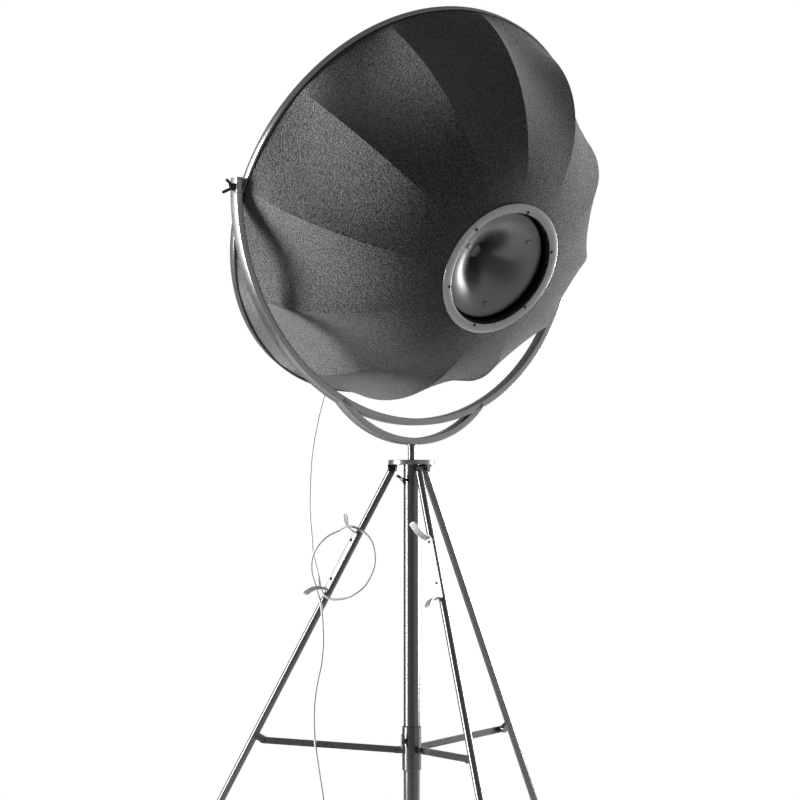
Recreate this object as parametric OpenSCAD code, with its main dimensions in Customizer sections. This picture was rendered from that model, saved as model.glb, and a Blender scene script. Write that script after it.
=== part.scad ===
// Tripod spotlight floor lamp: a ribbed felt dome in a semicircular yoke, on a folding tripod.
// Millimetres, +Z up, origin on the floor under the middle of the pole.

/* [Stance] */
// Height of the top plate's upper face above the floor
plate_z = 965; // [900:5:1050]
// Angle of the open legs from the vertical
leg_angle = 27.8; // [24:0.2:30]
// Turn of the yoke about the pole, as it stands
pan = 39.3; // [0:0.1:90]
// Angle that the back of the head hangs below the horizontal
tilt = 28.9; // [0:0.1:60]

/* [Head] */
// Outer radius of the metal rim
rim_r = 450; // [420:5:480]
// Depth of the rim
rim_depth = 15; // [12:1:24]
// Distance from the tilt axis to the outside of the hub ring
hub_h = 332; // [300:1:345]
// Outer radius of the hub ring
hub_r = 146.5; // [135:0.5:155]
// Inner radius of the hub ring
hub_open_r = 126; // [120:1:130]
// Number of gores, and of the ribs between them
gores = 12; // [8:2:16]
// How far the felt sags between two ribs
sag = 29; // [10:1:32]
// Thickness of the felt
felt = 3; // [2:0.5:4]
// Diameter of a rib
rib_d = 5; // [4:0.5:6]
// Outer radius of the spun dish in the hub
dish_r = 118; // [100:1:120]
// Depth of the dish
dish_depth = 74; // [50:1:85]

/* [Yoke] */
// Radius of the yoke, at the middle of its bar
yoke_r = 463; // [450:1:500]
// Width of the bar
bar_w = 25; // [20:1:30]
// Thickness of the bar
bar_t = 15; // [10:1:16]
// Height of the tilt axis above the top plate
pivot_up = 551.5; // [540:0.5:600]
// Height of the yoke's centre above the top plate
arch_up = 545.5; // [530:0.5:595]
// Radius of the cradle under the yoke, at the middle of its bar
cradle_r = 268; // [240:1:300]
// Length of stem that shows under the cradle
stem_shows = 33; // [20:1:60]

/* [Tripod] */
// Diameter of the pole
pole_d = 35; // [30:1:40]
// Height of the pole's lower end
pole_foot_z = 110; // [60:5:200]
// Diameter of the stem
stem_d = 16; // [14:1:18]
// Diameter of the top plate
plate_d = 101; // [98:1:115]
// Diameter of a leg
leg_d = 16; // [14:0.5:16]
// Height of the middle of the spreader collar
collar_z = 345.5; // [300:0.5:400]
// Length of the spreader collar
collar_len = 96.5; // [80:0.5:110]
// Height of the arms' inner pins
arm_pin_z = 343; // [320:1:360]
// Distance along a leg from its hinge to the outer pin of its arm
arm_along = 653; // [600:1:700]

/* [Cord] */
// Diameter of the cord
cord_d = 5; // [5:0.5:6]
// Number of loops in the coil
coil_loops = 9; // [6:1:12]

/* [Hidden] */
$fn = 64;
fit = 0.05;
overcut = 1;
metal_dark = [0.24, 0.24, 0.25];
metal_grey = [0.42, 0.42, 0.43];
metal_light = [0.78, 0.78, 0.79];
black = [0.06, 0.06, 0.06];
felt_grey = [0.27, 0.27, 0.28];
cord_grey = [0.82, 0.82, 0.81];

// Tripod: each leg stands at an azimuth, seen from above, and hinges under the plate.
leg_az = [170, 290, 50];
plate_t = 10;
hinge_r = 42;
hinge_drop = 19;
hinge_z = plate_z - hinge_drop;
leg_len = hinge_z / cos(leg_angle);
leg_bore_r = leg_d / 2 - 1.6;
hinge_pin_r = 3;
arm_pin_r = 2.5;
arm_pin_out = 32;
arm_offset = 23;
arm_h = 14;
arm_t = 5;
// The arms run beside the legs, so they stand clear of the leg's round tube.
arm_side = leg_d / 2 + 0.4;
arm_pin_leg = [
  hinge_r + arm_along * sin(leg_angle) - arm_offset * cos(leg_angle),
  hinge_z - arm_along * cos(leg_angle) - arm_offset * sin(leg_angle)
];
arm_len = norm(arm_pin_leg - [arm_pin_out, arm_pin_z]);
arm_rise = asin((arm_pin_leg[1] - arm_pin_z) / arm_len);
stem_bottom = 360;
lock_az = 230;
lock_z = plate_z - 43;
collar_lock_z = 362;

// Head: its own frame has X along the tilt axis, Z towards the hub and Y up the dome.
pivot_z = plate_z + pivot_up;
arch_z = plate_z + arch_up;
rim_t = 4;
rim_back = 7;
rim_front = rim_back - rim_depth;
// Inside the rim, everything starts just clear of its front lip.
behind_lip = rim_front + 2.2;
felt_r = rim_r - rim_t - 0.1;
hub_t = 3.5;
felt_top = hub_h - hub_t;
gore_angle = 360 / gores;
gore_steps = 6;
dome_rings = 12;
bolt_r = 4;
screw_circle_r = 130;
screw_phase = 21.7;
exit_angle = 267.5;
exit_r = 430;
relief_out = 28;

// The rib's outer line, from the rim to the hub, as a cubic curve of radius and height.
rib_curve = [
  [felt_r, rim_back], [rim_r - 20, 151], [rim_r - 135, 288], [hub_r + 4, felt_top]
];
function bezier(p, t) = pow(1 - t, 3) * p[0] + 3 * pow(1 - t, 2) * t * p[1]
  + 3 * (1 - t) * t * t * p[2] + pow(t, 3) * p[3];
function bezier_dir(p, t) = pow(1 - t, 2) * (p[1] - p[0]) + 2 * (1 - t) * t * (p[2] - p[1])
  + t * t * (p[3] - p[2]);
function outward(v) = [v[1], -v[0]] / norm(v);
// The felt hangs in a parabola between ribs, deepest a quarter of the way up the dome.
function sag_at(t) = sag * pow(sin(180 * pow(t, 0.535)), 2);
function dome(t, a, inset) =
  let (
    u = a / gore_angle - floor(a / gore_angle),
    p = bezier(rib_curve, t) - (inset + sag_at(t) * 4 * u * (1 - u)) * outward(bezier_dir(rib_curve, t))
  )
  [p[0] * cos(a), p[0] * sin(a), p[1]];

// A tube swept along points: each ring is square to the path and turned as little as possible.
function unit(v) = v / norm(v);
function heading(p, i) = unit(p[min(i + 1, len(p) - 1)] - p[max(i - 1, 0)]);
function carried(u, t) = unit(u - (u * t) * t);
function side_dirs(p) = [
  for (
    i = 0, t = heading(p, 0), u = carried(abs(t[2]) > 0.8 ? [1, 0, 0] : [0, 0, 1], t);
    i < len(p);
    i = i + 1, t = i < len(p) ? heading(p, i) : t, u = carried(u, t)
  ) [u, cross(t, u)]
];
module tube(p, r, sides) {
  dirs = side_dirs(p);
  n = len(p);
  points = [
    for (i = [0:n - 1], k = [0:sides - 1])
      p[i] + r * (cos(360 * k / sides) * dirs[i][0] + sin(360 * k / sides) * dirs[i][1])
  ];
  walls = [
    for (i = [0:n - 2], k = [0:sides - 1], half = [0, 1])
      let (a = i * sides + k, b = i * sides + (k + 1) % sides)
        half == 0 ? [a, a + sides, b + sides] : [a, b + sides, b]
  ];
  first = [for (k = [1:sides - 2]) [0, k, k + 1]];
  last = [for (k = [1:sides - 2]) [(n - 1) * sides, (n - 1) * sides + k + 1, (n - 1) * sides + k]];
  polyhedron(points, concat(walls, first, last));
}
// A smooth curve through hand-chosen points, cut into equal parts of each span.
function spline(p, parts) = [
  for (i = [0:len(p) - 2], k = [0:parts - 1])
    let (
      t = k / parts,
      a = p[max(i - 1, 0)], b = p[i], c = p[i + 1], d = p[min(i + 2, len(p) - 1)]
    )
    0.5 * (2 * b + (c - a) * t + (2 * a - 5 * b + 4 * c - d) * t * t
      + (3 * b - a - 3 * c + d) * t * t * t),
  p[len(p) - 1]
];

module head_frame() {
  translate([0, 0, pivot_z])
    rotate([0, 0, pan])
      rotate([90 + tilt, 0, 0])
        children();
}
module yoke_frame() {
  translate([0, 0, arch_z])
    rotate([0, 0, pan])
      children();
}
// Leg frame: X outwards, Y sideways, Z up, with the leg's hinge at the origin.
module leg_frame(i) {
  rotate([0, 0, leg_az[i]])
    translate([hinge_r, 0, hinge_z])
      children();
}
// Along the leg: Z runs down the tube from the hinge, and X stays on its outer side.
module down_leg(i) {
  leg_frame(i)
    rotate([0, 180 - leg_angle, 0])
      mirror([1, 0, 0])
        children();
}

// ---- Mast ----
module top_plate() {
  edge = 1;
  color(metal_grey)
    translate([0, 0, plate_z - plate_t])
      rotate_extrude($fn = 128)
        polygon([
          [stem_d / 2 + fit, 0], [plate_d / 2 - edge, 0], [plate_d / 2, edge],
          [plate_d / 2, plate_t - edge], [plate_d / 2 - edge, plate_t],
          [stem_d / 2 + fit, plate_t]
        ]);
}

pole_wall = 2;
bush_len = 60;
module pole() {
  color(metal_dark)
    difference() {
      translate([0, 0, pole_foot_z])
        cylinder(h = plate_z - plate_t - pole_foot_z, d = pole_d);
      translate([0, 0, pole_foot_z - overcut])
        cylinder(h = plate_z, r = pole_d / 2 - pole_wall);
      lock_axis(lock_z)
        cylinder(h = pole_d, r = 3);
    }
}
module stem_bush() {
  color(black)
    difference() {
      translate([0, 0, plate_z - plate_t - bush_len])
        cylinder(h = bush_len, r = pole_d / 2 - pole_wall);
      translate([0, 0, plate_z - plate_t - bush_len - overcut])
        cylinder(h = bush_len + 2 * overcut, r = stem_d / 2 + fit);
      lock_axis(lock_z)
        cylinder(h = pole_d, r = 3);
    }
}
module pole_cap() {
  cap_t = 4;
  color(black) {
    translate([0, 0, pole_foot_z - cap_t])
      rotate_extrude()
        polygon([
          [0, 0], [pole_d / 2 - 1.5, 0], [pole_d / 2, 1.5], [pole_d / 2, cap_t],
          [pole_d / 2 - pole_wall, cap_t], [pole_d / 2 - pole_wall, cap_t + 14], [0, cap_t + 14]
        ]);
  }
}
// A locking screw's axis: Z points out of the pole, towards the screw's handle.
module lock_axis(z) {
  rotate([0, 0, lock_az])
    translate([0, 0, z])
      rotate([0, 90, 0])
        children();
}

bracket_t = 3;
ear_inner = leg_d / 2 + 0.3;
module leg_bracket(i) {
  flange_t = 4;
  ear_r = 8;
  leg_frame(i)
    difference() {
      union() {
        for (s = [-1, 1])
          translate([0, s * (ear_inner + bracket_t / 2), 0])
            rotate([90, 0, 0])
              linear_extrude(bracket_t, center = true) {
                circle(r = ear_r);
                translate([-ear_r, 0])
                  square([2 * ear_r, hinge_drop - plate_t]);
              }
        // A lip on each ear stands against the underside of the plate.
        for (s = [-1, 1])
          translate([-ear_r, s * (ear_inner + bracket_t + 2) - 2, hinge_drop - plate_t - flange_t])
            cube([2 * ear_r, 4, flange_t]);
      }
      rotate([90, 0, 0])
        cylinder(h = 60, r = hinge_pin_r, center = true);
    }
}
module leg_brackets() {
  color(black)
    for (i = [0:2])
      leg_bracket(i);
}
module hinge_pins() {
  pin_half = ear_inner + bracket_t + 1;
  head_t = 2;
  color(metal_light)
    for (i = [0:2])
      leg_frame(i)
        rotate([90, 0, 0]) {
          cylinder(h = 2 * pin_half, r = hinge_pin_r, center = true);
          for (s = [-1, 1])
            translate([0, 0, s * (pin_half + head_t / 2 - 1)])
              cylinder(h = head_t, r = hinge_pin_r + 1.2, center = true);
        }
}

// ---- Locking screws ----
// One wing, in the XZ plane: a leaf that leans away from the hub to a round tip.
module wing(tip, tip_r) {
  root = [3, 4];
  root_r = 3;
  thick = 3;
  across = [root[1] - tip[1], tip[0] - root[0]] / norm(tip - root);
  rotate([90, 0, 0])
    linear_extrude(thick, center = true) {
      translate(tip)
        circle(r = tip_r);
      polygon([
        root - root_r * across, tip - 0.9 * tip_r * across,
        tip + 0.9 * tip_r * across, root + root_r * across
      ]);
    }
}
module wing_pair(tip, tip_r) {
  for (a = [0, 180])
    rotate([0, 0, a])
      wing(tip, tip_r);
}
module wing_screw() {
  start = stem_d / 2 + 0.3;
  hub_out = pole_d / 2 + 8;
  color(black)
    lock_axis(lock_z) {
      translate([0, 0, start])
        cylinder(h = hub_out - start + 1, r = 3 - fit);
      translate([0, 0, hub_out]) {
        cylinder(h = 9, r1 = 5, r2 = 4);
        rotate([0, 0, 50])
          wing_pair([12, 9], 4);
      }
    }
}
module thumb_screw() {
  start = pole_d / 2 + 0.3;
  bar_out = 30;
  bar_half = 12.5;
  color(metal_dark)
    lock_axis(collar_lock_z) {
      translate([0, 0, start])
        cylinder(h = bar_out - start, r = 3 - fit);
      translate([0, 0, bar_out])
        rotate([0, 90, 0]) {
          cylinder(h = 2 * bar_half, r = 4, center = true);
          for (s = [-1, 1])
            translate([0, 0, s * bar_half])
              sphere(r = 4, $fn = 32);
        }
    }
}

// ---- Spreader ----
collar_r = 20.5;
lug_t = 4;
module collar() {
  chamfer = 2.5;
  bore_r = pole_d / 2 + fit;
  half = collar_len / 2;
  color(metal_dark)
    difference() {
      union() {
        translate([0, 0, collar_z])
          rotate_extrude()
            polygon([
              [bore_r - 3, -half], [collar_r - chamfer, -half], [collar_r, chamfer - half],
              [collar_r, half - chamfer], [collar_r - chamfer, half], [bore_r - 3, half]
            ]);
        lock_axis(collar_lock_z)
          cylinder(h = collar_r + 3.5, r = 6);
        for (i = [0:2], side = [arm_side - 0.3 - lug_t, arm_side + arm_t + 0.3])
          rotate([0, 0, leg_az[i]])
            translate([0, side + lug_t, arm_pin_z])
              rotate([90, 0, 0])
                linear_extrude(lug_t) {
                  translate([arm_pin_out, 0])
                    circle(r = 7);
                  translate([8, -7])
                    square([arm_pin_out - 8, 14]);
                }
      }
      translate([0, 0, collar_z - collar_len])
        cylinder(h = 2 * collar_len, r = bore_r);
      lock_axis(collar_lock_z)
        cylinder(h = 2 * collar_r, r = 3);
      for (i = [0:2])
        rotate([0, 0, leg_az[i]])
          translate([arm_pin_out, 0, arm_pin_z])
            rotate([90, 0, 0])
              cylinder(h = 60, r = arm_pin_r, center = true);
    }
}
module collar_pins() {
  low = arm_side - 0.3 - lug_t;
  high = arm_side + arm_t + 0.3 + lug_t;
  color(metal_light)
    for (i = [0:2])
      rotate([0, 0, leg_az[i]])
        translate([arm_pin_out, high, arm_pin_z])
          rotate([90, 0, 0])
            cylinder(h = high - low, r = arm_pin_r);
}
module arm(i) {
  // A flat bar with round ends, and the rivet of its outer joint.
  color(metal_dark)
    rotate([0, 0, leg_az[i]])
      translate([arm_pin_out, arm_side + arm_t, arm_pin_z])
        rotate([90, 0, 0])
          rotate([0, 0, arm_rise]) {
            linear_extrude(arm_t)
              difference() {
                union() {
                  translate([0, -arm_h / 2])
                    square([arm_len, arm_h]);
                  circle(r = arm_h / 2);
                  translate([arm_len, 0])
                    circle(r = arm_h / 2);
                }
                circle(r = arm_pin_r + fit);
              }
            translate([arm_len, 0, -2])
              cylinder(h = 2.5, r = 4.5);
          }
}
module arm_a() { arm(0); }
module arm_b() { arm(1); }
module arm_c() { arm(2); }

// ---- Legs ----
hook_turn = [45, -62];
hook_screw_at = [178, 273];
module leg(i) {
  tube_start = 6;
  tube_end = leg_len - leg_d / 2 * tan(leg_angle) - 4;
  lug_half = 4;
  color(metal_dark)
    difference() {
      union() {
        down_leg(i)
          translate([0, 0, tube_start])
            cylinder(h = tube_end - tube_start, d = leg_d);
        leg_frame(i)
          rotate([90, 0, 0])
            cylinder(h = leg_d - 0.4, d = leg_d, center = true);
        // The lug that the arm is riveted to stands square to the tube.
        down_leg(i)
          translate([0, leg_d / 2, arm_along])
            rotate([90, 0, 0])
              linear_extrude(leg_d / 2 + lug_half) {
                translate([-arm_offset, 0])
                  circle(r = arm_h / 2);
                translate([-arm_offset, -arm_h / 2])
                  square([arm_offset, arm_h]);
              }
      }
      down_leg(i)
        translate([0, 0, leg_d])
          cylinder(h = leg_len, r = leg_bore_r);
      leg_frame(i)
        rotate([90, 0, 0])
          cylinder(h = 60, r = hinge_pin_r + fit, center = true);
      if (i < 2)
        for (z = hook_screw_at)
          on_tube(i, z)
            cylinder(h = leg_d, r = 2);
    }
}
module leg_a() { leg(0); }
module leg_b() { leg(1); }
module leg_c() { leg(2); }

module foot(i) {
  boot_len = 34;
  boot_r = leg_d / 2 + 3;
  tube_end = leg_len - leg_d / 2 * tan(leg_angle) - 4;
  color(black)
    difference() {
      down_leg(i)
        translate([0, 0, leg_len - boot_len])
          cylinder(h = 2 * boot_len, r = boot_r);
      down_leg(i)
        cylinder(h = tube_end, d = leg_d);
      translate([-leg_len, -leg_len, -4 * boot_len])
        cube([2 * leg_len, 2 * leg_len, 4 * boot_len]);
    }
}
module foot_a() { foot(0); }
module foot_b() { foot(1); }
module foot_c() { foot(2); }

// ---- Cord hooks ----
// Out of the tube: Z points away from its middle, at a distance along the leg.
module on_tube(i, along) {
  down_leg(i)
    translate([0, 0, along])
      rotate([0, 0, hook_turn[i]])
        rotate([0, 90, 0])
          children();
}
hook_t = 2.5;
hook_w = 16;
hook_mid = leg_d / 2 + hook_t / 2;
// The strip's side view: distance along the leg, and distance out from its middle.
function arc_points(c, r, a0, a1, n) = [
  for (k = [0:n])
    let (a = a0 + (a1 - a0) * k / n)
      [c[0] + r * cos(a), c[1] + r * sin(a)]
];
// Each end turns straight out, then flares over in a wide curve to its tip.
hook_ends = [[158.5, 299], [169, 309]];
hook_turn_r = 5;
flare_r = 40;
flare = 55;
flare_from = hook_mid + 6;
flare_tip = 12;
function hook_end(wall, way) = concat(
  [[
    wall - way * (flare_r * (1 - cos(flare)) + flare_tip * sin(flare)),
    flare_from + flare_r * sin(flare) + flare_tip * cos(flare)
  ]],
  [for (k = [6:-1:0]) let (a = flare * k / 6)
    [wall - way * flare_r * (1 - cos(a)), flare_from + flare_r * sin(a)]],
  [for (k = [0:5]) let (a = 90 * k / 5)
    [wall + way * hook_turn_r * (1 - cos(a)), hook_mid + hook_turn_r * (1 - sin(a))]]
);
function hook_line(i) = concat(
  hook_end(hook_ends[i][0], 1),
  [for (k = [13:-1:0]) hook_end(hook_ends[i][1], -1)[k]]
);
module round_rect(long, wide, r) {
  polygon(concat(
    arc_points([long - r, wide - r], r, 0, 90, 6), arc_points([r, wide - r], r, 90, 180, 6),
    arc_points([r, r], r, 180, 270, 6), arc_points([long - r, r], r, 270, 360, 6)
  ));
}
function side_of(p, i, d) =
  let (t = unit(p[min(i + 1, len(p) - 1)] - p[max(i - 1, 0)]))
    p[i] + d * [-t[1], t[0]];
module cord_hook(i) {
  line = hook_line(i);
  n = len(line);
  band = concat(
    [for (k = [0:n - 1]) side_of(line, k, hook_t / 2)],
    [for (k = [n - 1:-1:0]) side_of(line, k, -hook_t / 2)]
  );
  tip_r = 5;
  color(metal_light)
    difference() {
      down_leg(i)
        rotate([0, 0, hook_turn[i]])
          intersection() {
            rotate([0, -90, -90])
              linear_extrude(hook_w, center = true)
                polygon(band);
            // Seen square on, the strip's four corners are round.
            rotate([0, 90, 0])
              linear_extrude(2 * arm_along)
                translate([-line[n - 1][0] - 1, -hook_w / 2])
                  round_rect(line[n - 1][0] - line[0][0] + 2, hook_w, tip_r);
          }
      for (z = hook_screw_at)
        on_tube(i, z)
          cylinder(h = 2 * leg_d, r = 2);
    }
}
module cord_hook_a() { cord_hook(0); }
module cord_hook_b() { cord_hook(1); }
module hook_screws(i) {
  color(black)
    for (z = hook_screw_at)
      on_tube(i, z) {
        translate([0, 0, leg_bore_r - 2])
          cylinder(h = hook_mid - leg_bore_r + 4, r = 2);
        translate([0, 0, leg_d / 2 + hook_t])
          cylinder(h = 2.2, r1 = 4, r2 = 2.8);
      }
}
module hook_screws_a() { hook_screws(0); }
module hook_screws_b() { hook_screws(1); }

// ---- Stem and yoke ----
stem_bore_r = 6.4;
module lift_guide() {
  guide_len = 34;
  color(black) {
    translate([0, 0, stem_bottom - 0.2 - guide_len])
      cylinder(h = guide_len, r = pole_d / 2 - pole_wall - fit);
    translate([0, 0, stem_bottom - 1])
      cylinder(h = 26, r = stem_bore_r - fit);
  }
}
cradle_low = plate_z + stem_shows;
cradle_mid_z = cradle_low + bar_t / 2 + cradle_r;
socket_deep = 5;
module stem() {
  color(metal_dark)
    translate([0, 0, stem_bottom])
      difference() {
        cylinder(h = cradle_low + socket_deep - stem_bottom, d = stem_d);
        translate([0, 0, -overcut])
          cylinder(h = 60, r = stem_bore_r);
      }
}
// Cross-section of the bar, its middle at a radius from the arc's centre.
module bar_section(r) {
  edge = 1.5;
  w = bar_w / 2;
  t = bar_t / 2;
  translate([r, 0])
    polygon([
      [t - edge, -w], [t, edge - w], [t, w - edge], [t - edge, w],
      [edge - t, w], [-t, w - edge], [-t, edge - w], [edge - t, -w]
    ]);
}
module cradle() {
  reach = 50;
  color(metal_grey)
    difference() {
      union() {
        translate([0, 0, cradle_mid_z])
          rotate([0, 0, pan])
            rotate([-90, 0, 0])
              rotate([0, 0, 90 - reach])
                rotate_extrude(angle = 2 * reach, $fn = 180)
                  bar_section(cradle_r);
        translate([0, 0, cradle_low - 2])
          cylinder(h = 8, r = stem_d / 2 + 3);
      }
      yoke_frame()
        rotate([90, 0, 0])
          cylinder(h = 4 * bar_w, r = yoke_r + bar_t / 2, center = true, $fn = 180);
      translate([0, 0, cradle_low - 10])
        cylinder(h = 10 + socket_deep, d = stem_d);
    }
}
end_above = 20;
module yoke() {
  straight = pivot_z - arch_z + end_above;
  color(metal_grey)
    difference() {
      yoke_frame() {
        rotate([-90, 0, 0])
          rotate_extrude(angle = 180, $fn = 180)
            bar_section(yoke_r);
        for (s = [0, 180])
          rotate([0, 0, s])
            linear_extrude(straight)
              bar_section(yoke_r);
      }
      head_frame()
        rotate([0, 90, 0])
          cylinder(h = 2.5 * yoke_r, r = bolt_r + fit, center = true);
    }
}

// ---- Tilt joint ----
bolt_out = yoke_r + bar_t / 2 + 15;
hoop_r = (felt_r - felt) * cos(180 / gores / gore_steps) - 0.1;
hoop_t = 3;
hoop_short = 0.5;
module tilt_bolts() {
  color(metal_light)
    head_frame()
      for (s = [0, 180])
        rotate([0, 0, s])
          rotate([0, 90, 0]) {
            translate([0, 0, hoop_r - hoop_t - 5])
              cylinder(h = bolt_out - hoop_r + hoop_t + 5, r = bolt_r);
            translate([0, 0, hoop_r - hoop_t - 6])
              cylinder(h = 5, r = 7);
          }
}
module pivot_spacers() {
  color(black)
    head_frame()
      difference() {
        for (s = [0, 180])
          rotate([0, 0, s])
            rotate([0, 90, 0])
              translate([0, 0, rim_r - 1])
                difference() {
                  cylinder(h = yoke_r - bar_t / 2 - 0.3 - rim_r + 1, r = 7);
                  translate([0, 0, -overcut])
                    cylinder(h = 20, r = bolt_r);
                }
        cylinder(h = 60, r = rim_r, center = true, $fn = 180);
      }
}
module wing_nut(s) {
  seat = yoke_r + bar_t / 2 + 0.3;
  color(black)
    head_frame()
      rotate([0, 0, s])
        rotate([0, 90, 0])
          translate([0, 0, seat])
            difference() {
              union() {
                cylinder(h = 10, r1 = 8, r2 = 6);
                rotate([0, 0, 90])
                  wing_pair([13, 20], 3);
              }
              translate([0, 0, -overcut])
                cylinder(h = 30, r = bolt_r + fit);
            }
}
module wing_nut_left() { wing_nut(180); }
module wing_nut_right() { wing_nut(0); }

// ---- Rim ----
module rim() {
  lip_t = 2;
  color(metal_grey)
    head_frame()
      difference() {
        rotate_extrude($fn = 180)
          polygon([
            [rim_r - 9, rim_front], [rim_r - 0.8, rim_front], [rim_r, rim_front + 0.8],
            [rim_r, rim_back - 0.8], [rim_r - 0.8, rim_back], [rim_r - rim_t, rim_back],
            [rim_r - rim_t, rim_front + lip_t], [rim_r - 9, rim_front + lip_t]
          ]);
        rotate([0, 90, 0])
          cylinder(h = 3 * rim_r, r = bolt_r, center = true);
      }
}
module cord_tab() {
  // A small plate inside the rim's lip carries the strain relief.
  tab_t = 2;
  color(metal_dark)
    head_frame()
      rotate([0, 0, exit_angle])
        translate([0, 0, behind_lip])
          linear_extrude(tab_t)
            difference() {
              union() {
                translate([exit_r, 0])
                  circle(r = 10);
                translate([exit_r, -10])
                  square([hoop_r - hoop_t - 0.3 - exit_r, 20]);
              }
              translate([exit_r, 0])
                circle(r = 4.5);
            }
}
module clamp_hoop() {
  color(metal_dark)
    head_frame()
      difference() {
        rotate_extrude($fn = 180)
          translate([hoop_r - hoop_t, behind_lip])
            square([hoop_t, rim_back - behind_lip - hoop_short]);
        rotate([0, 90, 0])
          cylinder(h = 3 * rim_r, r = bolt_r, center = true);
      }
}

// ---- Shade ----
module shade() {
  around = gores * gore_steps;
  // Every ring of the section: up the outside, then back down the inside.
  rings = concat(
    [[for (j = [0:around - 1]) hem_point(j, 0)]],
    [for (k = [0:dome_rings]) [for (j = [0:around - 1]) dome(k / dome_rings, j * 360 / around, 0)]],
    [[for (j = [0:around - 1]) hub_edge(j, 0)], [for (j = [0:around - 1]) hub_edge(j, felt)]],
    [for (k = [dome_rings:-1:0]) [for (j = [0:around - 1]) dome(k / dome_rings, j * 360 / around, felt)]],
    [[for (j = [0:around - 1]) hem_point(j, felt)]]
  );
  n = len(rings);
  points = [for (r = rings) each r];
  faces = [
    for (i = [0:n - 1], j = [0:around - 1], half = [0, 1])
      let (
        a = i * around + j, b = i * around + (j + 1) % around,
        c = ((i + 1) % n) * around + j, d = ((i + 1) % n) * around + (j + 1) % around
      )
      half == 0 ? [a, c, d] : [a, d, b]
  ];
  color(felt_grey)
    head_frame()
      difference() {
        polyhedron(points, faces);
        rotate([0, 90, 0])
          cylinder(h = 3 * rim_r, r = bolt_r + 0.2, center = true);
      }
}
function hem_point(j, inset) =
  let (a = j * 360 / (gores * gore_steps))
    [(felt_r - inset) * cos(a), (felt_r - inset) * sin(a), behind_lip];
function hub_edge(j, inset) =
  let (a = j * 360 / (gores * gore_steps))
    [(hub_open_r + 2) * cos(a), (hub_open_r + 2) * sin(a), felt_top - inset];

rib_inset = felt + rib_d / 2 / cos(28) + 0.3;
module ribs() {
  steps = 9;
  line = [
    for (k = [0:steps])
      let (p = dome(k / steps, 0, rib_inset))
        [p[0], 0, k == 0 ? rim_back : p[2]]
  ];
  color(metal_dark)
    head_frame()
      for (i = [0:gores - 1])
        rotate([0, 0, i * gore_angle])
          tube(line, rib_d / 2, 6);
}

// ---- Hub ----
hub_screw_r = 2;
module hub_ring() {
  edge = 0.8;
  color(metal_grey)
    head_frame()
      difference() {
        rotate_extrude($fn = 128)
          polygon([
            [hub_open_r, felt_top], [hub_r, felt_top], [hub_r, hub_h - edge],
            [hub_r - edge, hub_h], [hub_open_r + edge, hub_h], [hub_open_r, hub_h - edge]
          ]);
        hub_holes();
      }
}
module hub_clamp_ring() {
  color(metal_dark)
    head_frame()
      difference() {
        translate([0, 0, felt_top - 2 * felt])
          difference() {
            cylinder(h = felt, r = hub_r, $fn = 128);
            translate([0, 0, -overcut])
              cylinder(h = 3 * felt, r = hub_open_r, $fn = 128);
          }
        hub_holes();
      }
}
module hub_holes() {
  for (k = [0:5])
    rotate([0, 0, screw_phase + 60 * k])
      translate([screw_circle_r, 0, hub_h])
        cylinder(h = 2 * hub_t + 20, r = hub_screw_r, center = true, $fn = 24);
}
module hub_screws() {
  color(black)
    head_frame()
      for (k = [0:5])
        rotate([0, 0, screw_phase + 60 * k])
          translate([screw_circle_r, 0, 0]) {
            translate([0, 0, felt_top - 2 * felt - 4])
              cylinder(h = hub_t + 2 * felt + 4.5, r = hub_screw_r, $fn = 24);
            translate([0, 0, hub_h])
              cylinder(h = 1.6, r1 = 3.6, r2 = 2.6, $fn = 24);
          }
}
// The dish flares from a narrow neck to a wide mouth, like the bell of a horn.
dish_h = hub_h - 20;
dish_t = 1.5;
neck_r = 14;
function dish_height(r) = dish_h - dish_depth * pow((dish_r - r) / (dish_r - neck_r), 2.2);
module dish() {
  steps = 16;
  radii = [for (k = [0:steps]) neck_r + (dish_r - neck_r) * pow(k / steps, 1.3)];
  color(metal_dark)
    head_frame()
      difference() {
        rotate_extrude($fn = 128)
          polygon(concat(
            [for (r = radii) [r, dish_height(r)]],
            [[dish_r + 1, dish_h - dish_t / 2]],
            [for (k = [steps:-1:0]) [radii[k], dish_height(radii[k]) - dish_t]]
          ));
        dish_screw_axes()
          cylinder(h = 20, r = dish_screw_r, center = true, $fn = 24);
      }
}
// Behind the dish, a spun tray closes the gap. The dish stands on it, on three spacers.
tray_t = 2;
tray_top = felt_top - 2 * felt;
tray_floor = dish_h - 14;
tray_in_r = 80;
module hub_tray() {
  wall_in = hub_open_r - tray_t;
  flange_r = hub_r - 7;
  color(black)
    head_frame()
      difference() {
        rotate_extrude($fn = 128)
          polygon([
            [tray_in_r, tray_floor - tray_t], [hub_open_r, tray_floor - tray_t],
            [hub_open_r, tray_top - tray_t], [flange_r, tray_top - tray_t], [flange_r, tray_top],
            [wall_in, tray_top], [wall_in, tray_floor], [tray_in_r, tray_floor]
          ]);
        hub_holes();
      }
}
dish_screw_at = 91;
dish_screw_phase = 158;
dish_slope = atan((dish_height(dish_screw_at + 1) - dish_height(dish_screw_at - 1)) / 2);
dish_screw_r = 2;
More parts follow.
